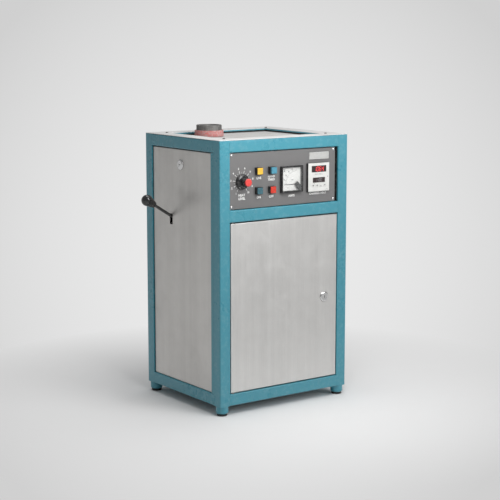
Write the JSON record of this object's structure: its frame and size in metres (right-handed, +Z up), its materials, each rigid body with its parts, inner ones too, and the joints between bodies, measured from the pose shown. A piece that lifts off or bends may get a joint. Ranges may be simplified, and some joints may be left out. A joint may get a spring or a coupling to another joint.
{
  "type": "electric crucible furnace",
  "caption": "Floor-standing electric melting furnace: square tube cabinet with front door, instrument panel, side lift lever and a crucible in a collar on top.",
  "frame": {"origin": "centre of the cabinet's footprint, on the floor under the four feet", "axes": "+Z up, the front door and the instruments face -Y, the lever is on the -X side"},
  "size_m": [0.5132, 0.4055, 0.7539],
  "materials": {
    "frame_paint": "satin enamel",
    "cover_steel": "vertical brush",
    "trim_steel": "fine brush",
    "zinc_sheet": "dull zinc plate",
    "panel_paint": "fine textured enamel",
    "machined_steel": "turned",
    "chrome": "polished",
    "pad_rubber": "matte",
    "gasket": "matte",
    "board": "pressed fibre board",
    "collar": "fired, crumbly",
    "graphite": "turned graphite",
    "refractory": "cast refractory",
    "fibre": "vacuum formed fibre",
    "wire": "oxidised resistance wire",
    "brass": "turned",
    "black_gloss": "gloss",
    "black_matte": "matte",
    "grey_plastic": "fine matte",
    "dial_white": "printed",
    "clear_cover": "clear acrylic",
    "display": "dark red filter",
    "cap_yellow": "translucent",
    "cap_blue": "translucent",
    "cap_green": "translucent",
    "cap_red": "translucent",
    "knob_red": "gloss",
    "core_steel": "varnished laminations",
    "resin": "moulded"
  },
  "bodies": {
    "cabinet": {"corner_posts": "frame_paint", "frame_rails": "frame_paint", "mid_rails": "frame_paint", "feet": "frame_paint", "foot_pads": "pad_rubber", "base_plate": "zinc_sheet", "hearth_shelf": "zinc_sheet", "top_trim": "trim_steel", "board_frame": "frame_paint", "top_gasket": "gasket", "top_board": "board", "screws": "chrome", "left_panel": "cover_steel", "right_panel": "cover_steel", "rear_panels": "zinc_sheet", "control_panel": "panel_paint", "panel_tabs": "frame_paint", "meter_case": "black_gloss", "meter_dial": "dial_white", "meter_cover": "clear_cover", "controller_case": "grey_plastic", "controller_window": "display", "switch_bodies": "black_matte", "live_lamp": "cap_yellow", "potentiometer": "resin", "door_pins": "machined_steel", "side_lock_body": "chrome", "shaft_bearings": "frame_paint", "guide_bush": "brass", "collar_ring": "collar", "furnace_shell": "zinc_sheet", "insulation": "fibre", "heater_tube": "refractory", "heating_coil": "wire", "thermocouple": "machined_steel", "transformer": "core_steel", "contactor": "black_matte", "cable_gland": "black_matte"},
    "door": {"door": "cover_steel", "door_lock_body": "chrome"},
    "door_lock": {"door_lock_cam": "chrome"},
    "side_lock": {"side_lock_cam": "chrome"},
    "lever": {"lever_rod": "machined_steel", "lever_knob": "black_gloss", "rocker_shaft": "machined_steel", "lift_arm": "machined_steel"},
    "lift": {"lift_rod": "machined_steel", "pedestal": "refractory"},
    "crucible": {"crucible": "graphite"},
    "knob": {"power_knob": "black_gloss", "knob_cap": "knob_red", "knob_spindle": "machined_steel"},
    "needle": {"meter_needle": "black_matte"},
    "mode_button": {"mode_button": "cap_blue"},
    "start_button": {"start_button": "cap_green"},
    "stop_button": {"stop_button": "cap_red"},
    "key_menu": {"key_menu": "grey_plastic"},
    "key_shift": {"key_shift": "grey_plastic"},
    "key_down": {"key_down": "grey_plastic"},
    "key_up": {"key_up": "grey_plastic"}
  },
  "joints": [
    {"name": "door_hinge", "type": "hinge", "parent": "cabinet", "child": "door", "pos_m": [-0.17, -0.176, 0.287], "axis": [0, 0, -1], "range_deg": [0, 110]},
    {"name": "door_lock_turn", "type": "hinge", "parent": "door", "child": "door_lock", "pos_m": [0.1345, -0.181, 0.287], "axis": [0, -1, 0], "range_deg": [0, 90]},
    {"name": "side_lock_turn", "type": "hinge", "parent": "cabinet", "child": "side_lock", "pos_m": [-0.2125, 0.009, 0.655], "axis": [1, 0, 0], "range_deg": [0, 90]},
    {"name": "lever_turn", "type": "hinge", "parent": "cabinet", "child": "lever", "pos_m": [-0.1745, 0.058, 0.49], "axis": [0, -1, 0], "range_deg": [0, 26]},
    {"name": "lift_slide", "type": "slide", "parent": "cabinet", "child": "lift", "axis": [0, 0, 1], "range_m": [0, 0.04377]},
    {"name": "crucible_out", "type": "slide", "parent": "lift", "child": "crucible", "axis": [0, 0, 1], "range_m": [0, 0.14]},
    {"name": "knob_turn", "type": "hinge", "parent": "cabinet", "child": "knob", "pos_m": [-0.1395, -0.177, 0.621], "axis": [0, 1, 0], "range_deg": [0, 294]},
    {"name": "needle_swing", "type": "hinge", "parent": "cabinet", "child": "needle", "pos_m": [0.037, -0.177, 0.6042], "axis": [0, 1, 0], "range_deg": [0, 88], "stiffness_Nm_per_rad": 0.0006},
    {"name": "mode_push", "type": "slide", "parent": "cabinet", "child": "mode_button", "axis": [0, 1, 0], "range_m": [0, 0.003], "stiffness_N_per_m": 400},
    {"name": "start_push", "type": "slide", "parent": "cabinet", "child": "start_button", "axis": [0, 1, 0], "range_m": [0, 0.003], "stiffness_N_per_m": 400},
    {"name": "stop_push", "type": "slide", "parent": "cabinet", "child": "stop_button", "axis": [0, 1, 0], "range_m": [0, 0.003], "stiffness_N_per_m": 400},
    {"name": "key_menu_push", "type": "slide", "parent": "cabinet", "child": "key_menu", "axis": [0, 1, 0], "range_m": [0, 0.0006], "stiffness_N_per_m": 600},
    {"name": "key_shift_push", "type": "slide", "parent": "cabinet", "child": "key_shift", "axis": [0, 1, 0], "range_m": [0, 0.0006], "stiffness_N_per_m": 600},
    {"name": "key_down_push", "type": "slide", "parent": "cabinet", "child": "key_down", "axis": [0, 1, 0], "range_m": [0, 0.0006], "stiffness_N_per_m": 600},
    {"name": "key_up_push", "type": "slide", "parent": "cabinet", "child": "key_up", "axis": [0, 1, 0], "range_m": [0, 0.0006], "stiffness_N_per_m": 600}
  ],
  "couplings": [
    {"joint": "lift_slide", "follows": "lever_turn", "m_per_rad": 0.096414}
  ]
}
